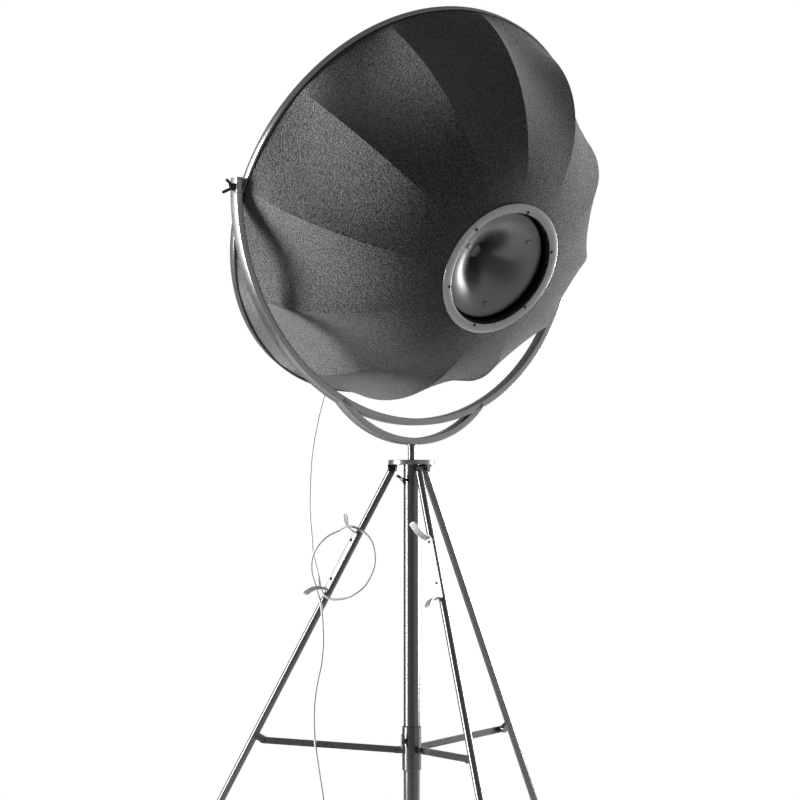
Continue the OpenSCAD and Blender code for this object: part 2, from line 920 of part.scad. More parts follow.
// Square to the dish's face where each of its screws goes through.
module dish_screw_axes() {
  for (k = [0:2])
    rotate([0, 0, dish_screw_phase + 120 * k])
      translate([dish_screw_at, 0, dish_height(dish_screw_at)])
        rotate([0, -dish_slope, 0])
          children();
}
module dish_spacers() {
  spacer_reach = 30;
  color(black)
    head_frame()
      difference() {
        dish_screw_axes()
          translate([0, 0, -spacer_reach - dish_t])
            cylinder(h = spacer_reach - 0.1, r = 4, $fn = 24);
        dish_screw_axes()
          cylinder(h = 3 * spacer_reach, r = dish_screw_r, center = true, $fn = 24);
        // Their far ends stand flat on the tray's floor.
        translate([0, 0, tray_floor - 2 * spacer_reach])
          cylinder(h = 2 * spacer_reach, r = hub_r);
      }
}
module dish_screws() {
  color(metal_dark)
    head_frame()
      dish_screw_axes() {
        translate([0, 0, -6])
          cylinder(h = 7, r = dish_screw_r, $fn = 24);
        translate([0, 0, 0.05])
          cylinder(h = 1.8, r1 = 6.5, r2 = 5, $fn = 32);
      }
}

// ---- Lamp ----
neck_top = dish_height(neck_r);
neck_len = 45;
holder_r = 21;
holder_len = 56;
module neck_tube() {
  color(metal_dark)
    head_frame()
      translate([0, 0, neck_top - neck_len])
        difference() {
          cylinder(h = neck_len, r = neck_r);
          translate([0, 0, -overcut])
            cylinder(h = neck_len - 1, r = neck_r - 2);
        }
}
module lamp_holder() {
  wall = 2.5;
  color([0.9, 0.9, 0.88])
    head_frame()
      translate([0, 0, neck_top - neck_len - holder_len])
        rotate_extrude()
          polygon([
            [0, holder_len], [neck_r, holder_len], [holder_r, holder_len - 8], [holder_r, 0],
            [holder_r - wall, 0], [holder_r - wall, holder_len - 20], [0, holder_len - 20]
          ]);
}
bulb_r = 47.5;
module bulb() {
  glass_t = 1.5;
  cap_top = neck_top - neck_len - 20;
  neck = 17;
  centre = cap_top - 85;
  sweep = 90 - asin(neck / bulb_r);
  outer = arc_points([0, centre], bulb_r, -90, sweep, 20);
  inner = arc_points([0, centre], bulb_r - glass_t, sweep, -90, 20);
  color([0.96, 0.95, 0.9])
    head_frame()
      rotate_extrude()
        polygon(concat(
          outer, [[neck, cap_top], [0, cap_top], [0, cap_top - 3], [neck - glass_t, cap_top - 3]], inner
        ));
}
module strain_relief() {
  tab_low = behind_lip;
  tab_high = tab_low + 2;
  color(black)
    head_frame()
      rotate([0, 0, exit_angle])
        translate([exit_r, 0, 0])
          rotate_extrude()
            polygon([
              [cord_d / 2 + fit, tab_high + 5], [6, tab_high + 5], [7, tab_high + 4],
              [7, tab_high], [4.5, tab_high], [4.5, tab_low], [7.5, tab_low],
              [7.5, tab_low - 3], [6, tab_low - 4], [3.9, tab_low - relief_out],
              [cord_d / 2 + fit, tab_low - relief_out]
            ]);
}
// Inside, the lead runs up the nearest rib and down to the lamp holder.
lead_inset = rib_inset + rib_d / 2 + cord_d / 2 + 2;
function polar(r, a, h) = [r * cos(a), r * sin(a), h];
exit_h = behind_lip - relief_out;
lead_line = spline(concat(
  [polar(exit_r, exit_angle, exit_h), polar(exit_r, exit_angle, -4)],
  [polar(exit_r - 2, exit_angle, 12), polar(exit_r - 14, 269, 48)],
  [for (t = [0.24:0.155:0.86]) dome(t, 270, lead_inset)],
  [polar(150, 270, 292), polar(90, 270, 250), polar(45, 270, 205), polar(holder_r, 270, 180)]
), 3);
module inner_lead() {
  color(black)
    head_frame()
      tube(lead_line, cord_d / 2, 8);
}

// ---- Cord ----
// It hangs from the shade to the hooks on the first leg, loops round both, and drops to the floor.
function head_point(p) =
  let (
    y = p[1] * cos(90 + tilt) - p[2] * sin(90 + tilt),
    z = p[1] * sin(90 + tilt) + p[2] * cos(90 + tilt)
  )
  [p[0] * cos(pan) - y * sin(pan), p[0] * sin(pan) + y * cos(pan), z + pivot_z];
cord_exit = head_point(polar(exit_r, exit_angle, exit_h));
cord_out = unit(cord_exit - head_point(polar(exit_r, exit_angle, 0)));
// Out of the shade it bends over in an arc, as stiff as it is, until it hangs straight down.
exit_straight = 9;
exit_bend_r = 28;
exit_way = unit([cord_out[0], cord_out[1], 0]);
function exit_bend(a) =
  cord_exit + exit_straight * cord_out
  + exit_bend_r * ((sin(tilt) - sin(tilt - a)) * exit_way + [0, 0, cos(tilt - a) - cos(tilt)]);
drop_points = concat(
  [cord_exit],
  [for (a = [0:20:120]) exit_bend(a)],
  [
    [-196, 208, 1117], [-202, 206.5, 1093], [-207.5, 204.5, 1070.5], [-212, 201.5, 1048],
    [-218.5, 195, 1013], [-223, 186.5, 978], [-225, 174, 945.5], [-226, 159, 913],
    [-226, 143.5, 881], [-225, 128, 849], [-222, 112, 817.5], [-218.5, 95, 786.5],
    [-217, 82, 766.5], [-212.5, 67.5, 748.5], [-207, 53.5, 730], [-201.5, 43, 710],
    [-199.5, 37.5, 699.5]
  ]
);
loop_points = [
  [-199.5, 37.5, 699.5], [-197.5, 32, 689], [-194.5, 26, 679.5], [-188, 20.5, 671.5],
  [-178.5, 16.5, 665.5], [-166.5, 13.5, 663.5], [-142.5, 10, 667], [-122, 6, 676.5],
  [-102.5, 5.5, 692.5], [-90, 5.5, 712.5], [-81, 5, 735], [-79.5, 3.5, 758.5],
  [-84, 2.5, 782.5], [-96.5, 4, 803], [-116.5, 8.5, 816.5], [-128.5, 11.5, 821],
  [-139.5, 16, 822], [-149.5, 19.5, 818], [-159, 22, 812], [-180.5, 22, 801.5],
  [-198.5, 19, 785], [-211, 20.5, 766], [-217, 28.5, 745], [-217, 35, 722.5], [-215, 35, 711.5],
  [-211, 32, 699.5]
];
tail_points = [
  [-211, 32, 699.5], [-207, 29, 687.5], [-204.5, 25, 677.5], [-201, 21.5, 667.5],
  [-197, 20.5, 656], [-194, 20.5, 632], [-192.5, 20.5, 605.5], [-191.5, 20.5, 582],
  [-192, 20.5, 558.5], [-196, 19, 522], [-204, 17.5, 484], [-209, 16.5, 450], [-211, 15.5, 415],
  [-209, 14, 362], [-200, 12, 297], [-190, 10, 233], [-184, 9, 170], [-182, 8, 110],
  [-183, 5, 70], [-185.5, -3, 34], [-187.5, -20, 10], [-188, -44, 2], [-188, -62, 2]
];
// A route's ends are straight, so that the cord's stretches meet face to face.
function route(p, parts) =
  let (n = len(p))
    concat([p[0]], spline([for (i = [1:n - 2]) p[i]], parts), [p[n - 1]]);
module cord_drop() {
  color(cord_grey)
    tube(route(drop_points, 2), cord_d / 2, 8);
}
module cord_loop() {
  color(cord_grey)
    tube(route(loop_points, 2), cord_d / 2, 8);
}
module above_floor() {
  // What presses on the floor is cut flat there, a tenth of the cord's diameter deep.
  difference() {
    children();
    translate([-500, -500, -20])
      cube([1000, 1000, 20]);
  }
}
module cord_tail() {
  color(cord_grey)
    above_floor()
      tube(route(tail_points, 2), cord_d / 2, 8);
}

// The coil winds in and out again at a steady rate, in four layers, and climbs a layer
// in the half turn where it reverses. It ends straight, beside the coil, in the plug.
coil_at = [-152, -75];
coil_layers = 4;
coil_step = cord_d + 0.55;
coil_low = cord_d / 2 - cord_d / 10;
loop_rings = 24;
turns_a_layer = coil_loops / coil_layers;
coil_out_r = 36;
function nearest_turn(t) = round(t / turns_a_layer);
function layers_up(t) =
  let (
    k = nearest_turn(t),
    e = t - k * turns_a_layer,
    inner = k > 0 && k < coil_layers && abs(e) < 0.25
  )
  inner ? k - 1 + (0.5 + 2 * e) : floor(t / turns_a_layer + 0.0001);
function turns_in(t) =
  let (r = t - 2 * turns_a_layer * floor(t / (2 * turns_a_layer)))
    min(r, 2 * turns_a_layer - r);
function coil_point(t) =
  let (r = coil_out_r - coil_step * turns_in(t))
    [
      coil_at[0] - r * cos(360 * t), coil_at[1] - r * sin(360 * t),
      coil_low + coil_step * min(layers_up(t), coil_layers - 1)
    ];
coil_top = coil_low + coil_step * (coil_layers - 1);
coil_run_out = 30;
coil_line = concat(
  [tail_points[len(tail_points) - 1]],
  [for (k = [0:coil_loops * loop_rings]) coil_point(k / loop_rings)],
  [
    [coil_at[0] - coil_out_r, coil_at[1] - coil_run_out / 2, coil_top],
    [coil_at[0] - coil_out_r, coil_at[1] - coil_run_out, coil_top]
  ]
);
module cord_coil() {
  color(cord_grey)
    above_floor()
      tube(coil_line, cord_d / 2, 6);
}
// The least gap between points of the coil more than half a turn apart, less its diameter.
coil_gap = min([
  for (i = [0:len(coil_line) - 1], j = [i + 12:1:len(coil_line) - 1])
    norm(coil_line[i] - coil_line[j])
]) - cord_d;
echo(coil_gap = coil_gap);
function run(p, i = 1) = i >= len(p) ? 0 : norm(p[i] - p[i - 1]) + run(p, i + 1);
echo(drop = run(route(drop_points, 2)), loop = run(route(loop_points, 2)));
echo(tail = run(route(tail_points, 2)), coil = run(coil_line));

module plug() {
  pin_r = 2.4;
  pin_gap = 19;
  body_r = coil_top + 0.3;
  color(cord_grey)
    above_floor()
      translate([coil_at[0] - coil_out_r, coil_at[1] - coil_run_out, coil_top])
        rotate([90, 0, 0]) {
          rotate_extrude()
            polygon([
              [0, 0], [3.9, 0], [5.5, 22], [9, 25], [11, 40], [body_r - 2, 43], [body_r, 45],
              [body_r, 58], [body_r - 1.5, 60], [0, 60]
            ]);
          for (side = [-1, 1])
            translate([side * pin_gap / 2, 0, 55])
              cylinder(h = 24, r = pin_r);
        }
}

top_plate();
pole();
stem_bush();
pole_cap();
leg_brackets();
hinge_pins();
wing_screw();
collar();
collar_pins();
thumb_screw();
arm_a();
arm_b();
arm_c();
leg_a();
leg_b();
leg_c();
foot_a();
foot_b();
foot_c();
cord_hook_a();
cord_hook_b();
hook_screws_a();
hook_screws_b();
lift_guide();
stem();
cradle();
yoke();
tilt_bolts();
pivot_spacers();
wing_nut_left();
wing_nut_right();
rim();
clamp_hoop();
cord_tab();
shade();
ribs();
hub_ring();
hub_clamp_ring();
hub_screws();
hub_tray();
dish();
dish_spacers();
dish_screws();
neck_tube();
lamp_holder();
bulb();
strain_relief();
inner_lead();
cord_drop();
cord_loop();
cord_tail();
cord_coil();
plug();
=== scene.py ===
"""Tripod spotlight floor lamp: a ribbed felt dome in a semicircular yoke on a folding tripod.

Everything is in metres in the CAD model's frame: +Z up, the origin on the floor under the
pole, and the camera on the -Y side.
"""

import math

import bpy
import numpy as np
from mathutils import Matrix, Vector


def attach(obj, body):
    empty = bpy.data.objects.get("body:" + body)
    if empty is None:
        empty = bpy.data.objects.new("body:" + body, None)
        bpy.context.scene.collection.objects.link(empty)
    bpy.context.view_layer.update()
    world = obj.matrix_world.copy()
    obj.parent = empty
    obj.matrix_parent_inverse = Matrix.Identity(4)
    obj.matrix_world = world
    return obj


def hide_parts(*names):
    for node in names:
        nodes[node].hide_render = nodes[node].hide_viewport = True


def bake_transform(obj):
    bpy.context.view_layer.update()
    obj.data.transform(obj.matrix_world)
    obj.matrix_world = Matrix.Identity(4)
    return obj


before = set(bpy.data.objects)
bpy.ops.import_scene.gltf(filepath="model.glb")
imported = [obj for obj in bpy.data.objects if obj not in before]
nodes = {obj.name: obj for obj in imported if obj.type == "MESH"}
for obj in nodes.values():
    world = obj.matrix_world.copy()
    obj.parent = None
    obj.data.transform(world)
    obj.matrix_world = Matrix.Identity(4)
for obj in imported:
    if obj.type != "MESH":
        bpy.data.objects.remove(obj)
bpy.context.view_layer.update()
scene = bpy.context.scene


# ---- Camera ----
# Fitted to the photograph: a long lens, level with the yoke's foot and pitched slightly up.
# The lower legs, the floor and the coil of cord lie below the picture.
camera_data = bpy.data.cameras.new("camera")
camera_data.sensor_width = 36.0
camera_data.lens = 96.87
camera = bpy.data.objects.new("camera", camera_data)
camera.location = (-0.0252, -4.6589, 0.8981)
camera.rotation_euler = (math.radians(92.42), 0.0, 0.0)
scene.collection.objects.link(camera)
scene.camera = camera


# ---- Cord ----
# A round cord in a pale grey sheath. It leaves the shade's lower edge, drops to the hooks on
# the first leg, goes once round both, and runs down to the floor, where the rest is coiled.
def grid_mesh(name, points, wrap_u=False, wrap_v=False, caps=False):
    """A smooth skin over points[i][j]: i runs along v and j along u; either may close."""
    points = np.asarray(points, float)
    rows, columns = points.shape[:2]
    i, j = np.meshgrid(
        np.arange(rows if wrap_v else rows - 1), np.arange(columns if wrap_u else columns - 1),
        indexing="ij",
    )
    next_i, next_j = (i + 1) % rows, (j + 1) % columns
    quads = np.stack([
        i * columns + j, i * columns + next_j, next_i * columns + next_j, next_i * columns + j,
    ], axis=2).reshape(-1, 4).tolist()
    if caps:
        quads.append(list(range(columns))[::-1])
        quads.append([(rows - 1) * columns + k for k in range(columns)])
    mesh = bpy.data.meshes.new(name)
    mesh.from_pydata(points.reshape(-1, 3).tolist(), [], quads)
    mesh.validate()
    mesh.update()
    mesh.shade_smooth()
    mesh.set_sharp_from_angle(angle=math.radians(40))
    piece = bpy.data.objects.new(name, mesh)
    scene.collection.objects.link(piece)
    return piece


def swept(path, radius, sides):
    """Rings of points round a path, each square to it and turned as little as possible."""
    path = np.asarray(path, float)
    headings = np.vstack([path[1:], path[-1:]]) - np.vstack([path[:1], path[:-1]])
    headings /= np.linalg.norm(headings, axis=1)[:, None]
    up = np.array([1.0, 0.0, 0.0]) if abs(headings[0][2]) > 0.8 else np.array([0.0, 0.0, 1.0])
    turns = np.linspace(0, 2 * np.pi, sides, endpoint=False)
    rings = []
    for centre, heading in zip(path, headings):
        up = up - np.dot(up, heading) * heading
        up /= np.linalg.norm(up)
        side = np.cross(heading, up)
        rings.append(centre + radius * (np.outer(np.cos(turns), up) + np.outer(np.sin(turns), side)))
    return np.array(rings)


def spline(points, parts):
    """A Catmull-Rom curve through the points, cut into equal parts of each span."""
    points = np.asarray(points, float)
    before = np.vstack([points[:1], points[:-2]])[:, None]
    start, end = points[:-1][:, None], points[1:][:, None]
    after = np.vstack([points[2:], points[-1:]])[:, None]
    t = (np.arange(parts) / parts)[None, :, None]
    curve = 0.5 * (
        2 * start + (end - before) * t + (2 * before - 5 * start + 4 * end - after) * t**2
        + (3 * start - before - 3 * end + after) * t**3
    )
    return np.vstack([curve.reshape(-1, points.shape[1]), points[-1:]])


def route(points, parts):
    """A stretch of cord, in millimetres: a curve whose first and last spans are straight."""
    points = np.asarray(points, float) / 1000
    return np.vstack([points[:1], spline(points[1:-1], parts), points[-1:]])


# The head's own axes: X is the tilt axis, Z points out of the hub and Y up the dome.
pan = math.radians(39.3)
tilt = math.radians(28.9)
pivot = np.array([0.0, 0.0, 1.5165])
head_x = np.array([math.cos(pan), math.sin(pan), 0.0])
across = np.array([-math.sin(pan), math.cos(pan), 0.0])
upright = np.array([0.0, 0.0, 1.0])
head_y = -math.sin(tilt) * across + math.cos(tilt) * upright
head_z = -math.cos(tilt) * across - math.sin(tilt) * upright


def in_head(points):
    """Points in the head's own axes and millimetres, as points of the frame."""
    return pivot + np.asarray(points, float) / 1000 @ np.array([head_x, head_y, head_z])


cord_d = 0.005
exit_angle = math.radians(267.5)
exit_r, exit_h = 430.0, -33.8
cord_exit = in_head([exit_r * math.cos(exit_angle), exit_r * math.sin(exit_angle), exit_h]) * 1000
exit_straight, exit_bend_r = 9.0, 28.0


def exit_bend(degrees):
    """The arc in which the stiff cord bends over, out of the shade, until it hangs down."""
    left = tilt - np.radians(degrees)[:, None]
    sideways = (math.sin(tilt) - np.sin(left)) * across
    upwards = (np.cos(left) - math.cos(tilt)) * upright
    return cord_exit - exit_straight * head_z + exit_bend_r * (sideways + upwards)


drop_points = [cord_exit, *exit_bend(np.arange(0, 121, 20))] + [
    np.array(p, float) for p in (
        (-196, 208, 1117), (-202, 206.5, 1093), (-207.5, 204.5, 1070.5), (-212, 201.5, 1048),
        (-218.5, 195, 1013), (-223, 186.5, 978), (-225, 174, 945.5), (-226, 159, 913),
        (-226, 143.5, 881), (-225, 128, 849), (-222, 112, 817.5), (-218.5, 95, 786.5),
        (-217, 82, 766.5), (-212.5, 67.5, 748.5), (-207, 53.5, 730), (-201.5, 43, 710),
        (-199.5, 37.5, 699.5),
    )
]
loop_points = [
    (-199.5, 37.5, 699.5), (-197.5, 32, 689), (-194.5, 26, 679.5), (-188, 20.5, 671.5),
    (-178.5, 16.5, 665.5), (-166.5, 13.5, 663.5), (-142.5, 10, 667), (-122, 6, 676.5),
    (-102.5, 5.5, 692.5), (-90, 5.5, 712.5), (-81, 5, 735), (-79.5, 3.5, 758.5),
    (-84, 2.5, 782.5), (-96.5, 4, 803), (-116.5, 8.5, 816.5), (-128.5, 11.5, 821),
    (-139.5, 16, 822), (-149.5, 19.5, 818), (-159, 22, 812), (-180.5, 22, 801.5),
    (-198.5, 19, 785), (-211, 20.5, 766), (-217, 28.5, 745), (-217, 35, 722.5), (-215, 35, 711.5),
    (-211, 32, 699.5),
]
tail_points = [
    (-211, 32, 699.5), (-207, 29, 687.5), (-204.5, 25, 677.5), (-201, 21.5, 667.5),
    (-197, 20.5, 656), (-194, 20.5, 632), (-192.5, 20.5, 605.5), (-191.5, 20.5, 582),
    (-192, 20.5, 558.5), (-196, 19, 522), (-204, 17.5, 484), (-209, 16.5, 450), (-211, 15.5, 415),
    (-209, 14, 362), (-200, 12, 297), (-190, 10, 233), (-184, 9, 170), (-182, 8, 110),
    (-183, 5, 70), (-185.5, -3, 34), (-187.5, -20, 10), (-188, -44, 2), (-188, -62, 2),
]


def cord_piece(name, path, sides):
    """A stretch of cord along its path, pressed flat where it lies on the floor."""
    skin = swept(path, cord_d / 2, sides)
    skin[..., 2] = np.maximum(skin[..., 2], 0.0)
    piece = grid_mesh(name, skin, wrap_u=True, caps=True)
    return piece


# The drop is cut into four stretches, because each bends between two bodies that one joint
# joins: head to yoke, yoke to guide, guide to mast and mast to leg.
drop_path = route(drop_points, 6)
run = np.concatenate([[0], np.cumsum(np.linalg.norm(np.diff(drop_path, axis=0), axis=1))])
cuts = [0] + [int(np.argmin(abs(run - run[-1] * f))) for f in (0.3, 0.5, 0.75)] + [len(run) - 1]
cords = []
for k in range(4):
    path = drop_path[cuts[k]:cuts[k + 1] + 1]
    piece = cord_piece("cord_drop_%d" % (k + 1), path, 16)
    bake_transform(piece)
    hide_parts("cord_drop")
    cords.append(piece)

cord_loop = cord_piece("cord_loop_round_hook", route(loop_points, 8), 16)
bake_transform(cord_loop)
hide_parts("cord_loop")
cords.append(cord_loop)

tail_path = route(tail_points, 8)
cord_tail = cord_piece("cord_tail_to_floor", tail_path, 16)
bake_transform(cord_tail)
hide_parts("cord_tail")
cords.append(cord_tail)

# The coil winds in and out again in four layers, and climbs one in each half turn where it
# reverses; its end runs out straight to the plug beside it.
coil_x, coil_y, coil_r = -0.152, -0.075, 0.036
coil_step = cord_d + 0.00055
coil_low = cord_d / 2 - cord_d / 10
loops, layers = 9, 4
turns_a_layer = loops / layers
turn = np.arange(loops * 48 + 1) / 48
nearest = np.round(turn / turns_a_layer)
past = turn - nearest * turns_a_layer
reversing = (nearest > 0) & (nearest < layers) & (abs(past) < 0.25)
flat_level = np.minimum(np.floor(turn / turns_a_layer + 1e-4), layers - 1)
level = np.where(reversing, nearest - 0.5 + 2 * past, flat_level)
inward = turn % (2 * turns_a_layer)
wind_r = coil_r - coil_step * np.minimum(inward, 2 * turns_a_layer - inward)
winding = np.stack([
    coil_x - wind_r * np.cos(2 * np.pi * turn), coil_y - wind_r * np.sin(2 * np.pi * turn),
    coil_low + coil_step * level,
], axis=1)
coil_top = coil_low + coil_step * (layers - 1)
run_out = [(coil_x - coil_r, coil_y - y, coil_top) for y in (0.01, 0.02, 0.03)]
coil_path = np.vstack([tail_path[-1:], winding, run_out])
cord_coil = cord_piece("cord_coil_on_floor", coil_path, 12)
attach(cord_coil, "mast")
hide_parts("cord_coil")
cords.append(cord_coil)


def material(name, colour, metallic=0.0, roughness=0.5):
    """A plain finish, with its node tree and shader."""
    made = bpy.data.materials.new(name)
    made.use_nodes = True
    shader = made.node_tree.nodes["Principled BSDF"]
    shader.inputs["Base Color"].default_value = (*colour, 1.0)
    shader.inputs["Metallic"].default_value = metallic
    shader.inputs["Roughness"].default_value = roughness
    return made, made.node_tree, shader


def object_noise(tree, scale, detail=4.0, roughness=0.6):
    """Noise that is fixed to the piece's own coordinates."""
    place = tree.nodes.new("ShaderNodeTexCoord")
    noise = tree.nodes.new("ShaderNodeTexNoise")
    noise.inputs["Scale"].default_value = scale
    noise.inputs["Detail"].default_value = detail
    noise.inputs["Roughness"].default_value = roughness
    tree.links.new(place.outputs["Object"], noise.inputs["Vector"])
    return noise.outputs["Fac"]


def vary_roughness(tree, shader, scale, low, high):
    """Roughness that wanders between two values, as noise does."""
    spread = tree.nodes.new("ShaderNodeMapRange")
    spread.inputs["From Min"].default_value = 0.35
    spread.inputs["From Max"].default_value = 0.65
    spread.inputs["To Min"].default_value = low
    spread.inputs["To Max"].default_value = high
    tree.links.new(object_noise(tree, scale), spread.inputs["Value"])
    tree.links.new(spread.outputs["Result"], shader.inputs["Roughness"])


def add_bump(tree, shader, height, strength, distance):
    """A relief of the given height, in metres."""
    bump = tree.nodes.new("ShaderNodeBump")
    bump.inputs["Strength"].default_value = strength
    bump.inputs["Distance"].default_value = distance
    tree.links.new(height, bump.inputs["Height"])
    tree.links.new(bump.outputs["Normal"], shader.inputs["Normal"])


def moulded(name, colour, low, high):
    """Moulded plastic or rubber, with a very fine grain."""
    made, tree, shader = material(name, colour)
    vary_roughness(tree, shader, 60.0, low, high)
    add_bump(tree, shader, object_noise(tree, 900.0, 2.0), 0.05, 0.0004)
    return made


def finish_nodes(finish, names):
    """Gives the CAD's own nodes their finish."""
    for name in names.split():
        mesh = nodes[name].data
        mesh.materials.clear()
        mesh.materials.append(finish)


def finish_piece(piece, finish):
    """Gives a new piece its finish."""
    piece.data.materials.clear()
    piece.data.materials.append(finish)


cord_sheath = moulded("cord_sheath", (0.70, 0.70, 0.695), 0.45, 0.6)
for piece in cords:
    finish_piece(piece, cord_sheath)
finish_nodes(cord_sheath, "cord_drop cord_loop cord_tail cord_coil plug inner_lead")


# ---- Pole, legs and spreader ----
# Round steel tubes and flat bars in a dark satin finish. The legs fold up to the pole when the
# collar slides down it, and stand on rubber boots.
def satin_steel(name, colour, low, high):
    """Steel under a thin satin coat: reflections are soft, and vary a little in gloss."""
    made, tree, shader = material(name, colour, metallic=0.9)
    vary_roughness(tree, shader, 40.0, low, high)
    return made


dark_steel = satin_steel("dark_steel", (0.14, 0.14, 0.144), 0.21, 0.24)
finish_nodes(
    dark_steel,
    "pole collar thumb_screw arm_a arm_b arm_c leg_a leg_b leg_c stem clamp_hoop cord_tab ribs "
    "hub_clamp_ring neck_tube",
)
rubber = moulded("rubber", (0.02, 0.02, 0.02), 0.7, 0.85)
finish_nodes(rubber, "foot_a foot_b foot_c")
black_plastic = moulded("black_plastic", (0.015, 0.015, 0.016), 0.45, 0.6)
finish_nodes(black_plastic, "stem_bush pole_cap lift_guide pivot_spacers strain_relief")


# ---- Top plate, hinges and screws ----
# A turned steel plate on the pole, with a bracket and a pin for each leg, and the cast wing
# screw that locks the stem. The small parts are black.
grey_steel = satin_steel("grey_steel", (0.27, 0.27, 0.277), 0.26, 0.29)
black_steel = satin_steel("black_steel", (0.03, 0.03, 0.031), 0.30, 0.40)
finish_nodes(grey_steel, "top_plate")
finish_nodes(
    black_steel, "leg_brackets hinge_pins collar_pins wing_screw hook_screws_a hook_screws_b",
)


# ---- Cord hooks ----
# On two legs, a strip of pale steel is screwed along the tube. Both its ends turn straight out
# and then flare over in a wide curve, so that the cord can be wound round them.
pale_steel = satin_steel("pale_steel", (0.48, 0.48, 0.487), 0.44, 0.50)
leg_d, leg_angle = 16.0, math.radians(27.8)
hinge = (42.0, 946.0)
hook_t, hook_w, tip_r, blunt = 2.5, 16.0, 5.0, 0.3
hook_mid = leg_d / 2 + hook_t / 2
turn_r, flare_r, flare, flare_from, flare_tip = 5.0, 40.0, math.radians(55), hook_mid + 6, 12.0


def hook_end(wall, way):
    """Half a hook, from its tip: a straight tip, the flare's arc and the tight turn at the wall.

    Each point is a distance along the leg and a distance out from its middle.
    """
    a = np.linspace(flare, 0, 16)
    arc = np.stack([wall - way * flare_r * (1 - np.cos(a)), flare_from + flare_r * np.sin(a)], 1)
    end = arc[0] + flare_tip * np.array([-way * math.sin(flare), math.cos(flare)])
    tip = end + (arc[0] - end) * np.linspace(0, 1, 12, endpoint=False)[:, None]
    b = np.linspace(0, math.pi / 2, 8)
    bend = np.stack([wall + way * turn_r * (1 - np.cos(b)), hook_mid + turn_r * (1 - np.sin(b))], 1)
    return np.vstack([tip, arc, bend])


def hook_strip(azimuth, turned, walls):
    """The strip's section, a rectangle with round edges, carried along its side view.

    Its half width w shrinks towards each tip as a circle does, and leg and hook are then turned
    to their place round the lamp.
    """
    line = np.vstack([hook_end(walls[0], 1), hook_end(walls[1], -1)[::-1]])
    headings = np.gradient(line, axis=0)
    headings /= np.linalg.norm(headings, axis=1)[:, None]
    normals = np.stack([-headings[:, 1], headings[:, 0]], axis=1)
    run = np.concatenate([[0], np.cumsum(np.linalg.norm(np.diff(line, axis=0), axis=1))])
    from_tip = np.minimum(np.minimum(run, run[-1] - run), tip_r)
    half = hook_w / 2 - tip_r + np.sqrt(np.maximum(tip_r**2 - (tip_r - from_tip)**2, blunt))
    edge = 0.6
    corner = np.linspace(0, math.pi / 2, 4)
    quarter = edge * np.stack([np.cos(corner), np.sin(corner)], axis=1)
    t = hook_t / 2 - edge
    back = quarter[::-1]
    side_w = np.repeat([1, -1, -1, 1], len(corner))
    side_t = np.repeat([1, 1, -1, -1], len(corner))
    round_w, round_t = np.vstack([quarter, back, quarter, back]).T
    thick = side_t * (t + round_t)
    w = side_w * (half[:, None] - edge + round_w)
    place = line[:, None, :] + thick[None, :, None] * normals[:, None, :]
    along, out = place[..., 0], place[..., 1]
    c, s = math.cos(turned), math.sin(turned)
    x, y = out * c - w * s, out * s + w * c
    radial = hinge[0] + x * math.cos(leg_angle) + along * math.sin(leg_angle)
    z = hinge[1] + x * math.sin(leg_angle) - along * math.cos(leg_angle)
    ca, sa = math.cos(azimuth), math.sin(azimuth)
    return np.stack([radial * ca - y * sa, radial * sa + y * ca, z], axis=-1) / 1000


for letter, azimuth, turned, walls in (
    ("a", 170, 45, (158.5, 299.0)), ("b", 290, -62, (169.0, 309.0)),
):
    hook = grid_mesh(
        "cord_hook_strip_" + letter,
        hook_strip(math.radians(azimuth), math.radians(turned), walls), wrap_u=True, caps=True,
    )
    finish_piece(hook, pale_steel)
    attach(hook, "leg_" + letter)
    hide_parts("cord_hook_" + letter)
finish_nodes(pale_steel, "cord_hook_a cord_hook_b tilt_bolts")


# ---- Yoke and cradle ----
# Flat steel bar with eased edges, bent to a half circle whose ends carry the head, and a
# shallower arc welded under it. The stem's boss stands under the middle.
bar_t, bar_w, bar_ease = 15.0, 25.0, 2.0


def bar_skin(middles, outwards):
    """A rectangle with rounded edges, carried along an arc, its thickness outwards."""
    corner = np.linspace(0, math.pi / 2, 5)
    turns = np.concatenate([corner + k * math.pi / 2 for k in range(4)])
    sides_t = np.repeat([1, -1, -1, 1], len(corner))
    sides_w = np.repeat([1, 1, -1, -1], len(corner))
    t = sides_t * (bar_t / 2 - bar_ease) + bar_ease * np.cos(turns)
    w = sides_w * (bar_w / 2 - bar_ease) + bar_ease * np.sin(turns)
    return (middles[:, None] + t[None, :, None] * outwards[:, None] + w[None, :, None] * across) / 1000


def arc_of_bar(centre_z, radius, angles):
    """Middles and outward directions on a circle in the yoke's plane; angle 0 points down."""
    outwards = np.sin(angles)[:, None] * head_x - np.cos(angles)[:, None] * upright
    return np.array([0.0, 0.0, centre_z]) + radius * outwards, outwards


yoke_r, arch_z, yoke_top = 463.0, 1510.5, 1536.5
middles, outwards = arc_of_bar(arch_z, yoke_r, np.linspace(-math.pi / 2, math.pi / 2, 181))
lift = np.linspace(yoke_top - arch_z, 0, 5, endpoint=False)[:, None] * upright
middles = np.vstack([middles[0] + lift, middles, middles[-1] + lift[::-1]])
outwards = np.vstack([np.repeat(outwards[:1], 5, 0), outwards, np.repeat(outwards[-1:], 5, 0)])
yoke = grid_mesh("yoke_bar", bar_skin(middles, outwards), wrap_u=True, caps=True)
finish_piece(yoke, grey_steel)
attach(yoke, "yoke")
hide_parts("yoke")

cradle_r, cradle_mid_z, reach = 268.0, 1273.5, math.radians(47)
cradle = grid_mesh(
    "cradle_bar", bar_skin(*arc_of_bar(cradle_mid_z, cradle_r, np.linspace(-reach, reach, 97))),
    wrap_u=True, caps=True,
)


